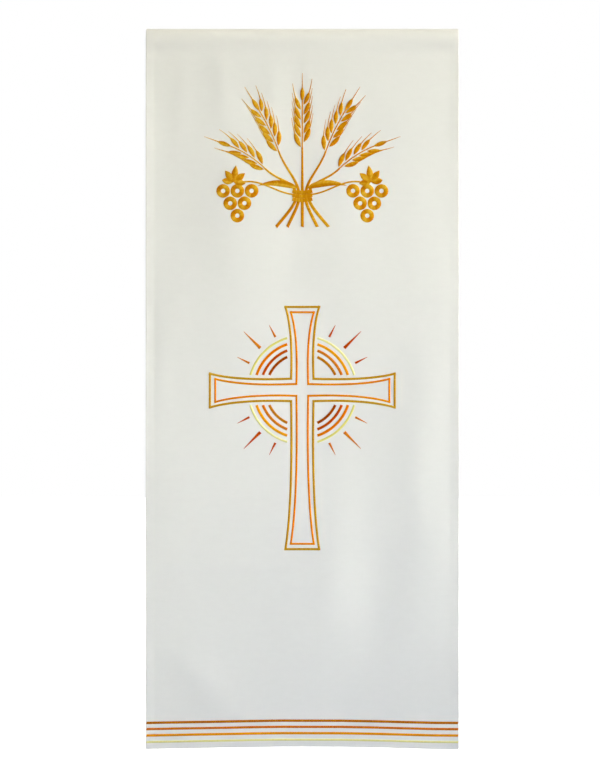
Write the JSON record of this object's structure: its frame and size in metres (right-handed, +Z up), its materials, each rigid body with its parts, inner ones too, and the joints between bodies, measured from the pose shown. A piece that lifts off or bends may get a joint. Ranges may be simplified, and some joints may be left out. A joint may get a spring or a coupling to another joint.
{
  "type": "ambo cloth",
  "caption": "Long strip of plain white cloth hung over the top edge of a reading desk, with a smooth front fall, a rounded turn and a slightly shorter back fall.",
  "frame": {"origin": "middle of the top edge, where the unseen support's top line meets the underside of the turn", "axes": "+Z up, +X along the top edge to the right as seen from the front, -Y towards the front"},
  "size_m": [0.5, 0.0523, 1.1555],
  "materials": {
    "white_cloth": "matt off-white cloth"
  },
  "bodies": {
    "root": {"ambo_cloth": "white_cloth"}
  },
  "joints": []
}
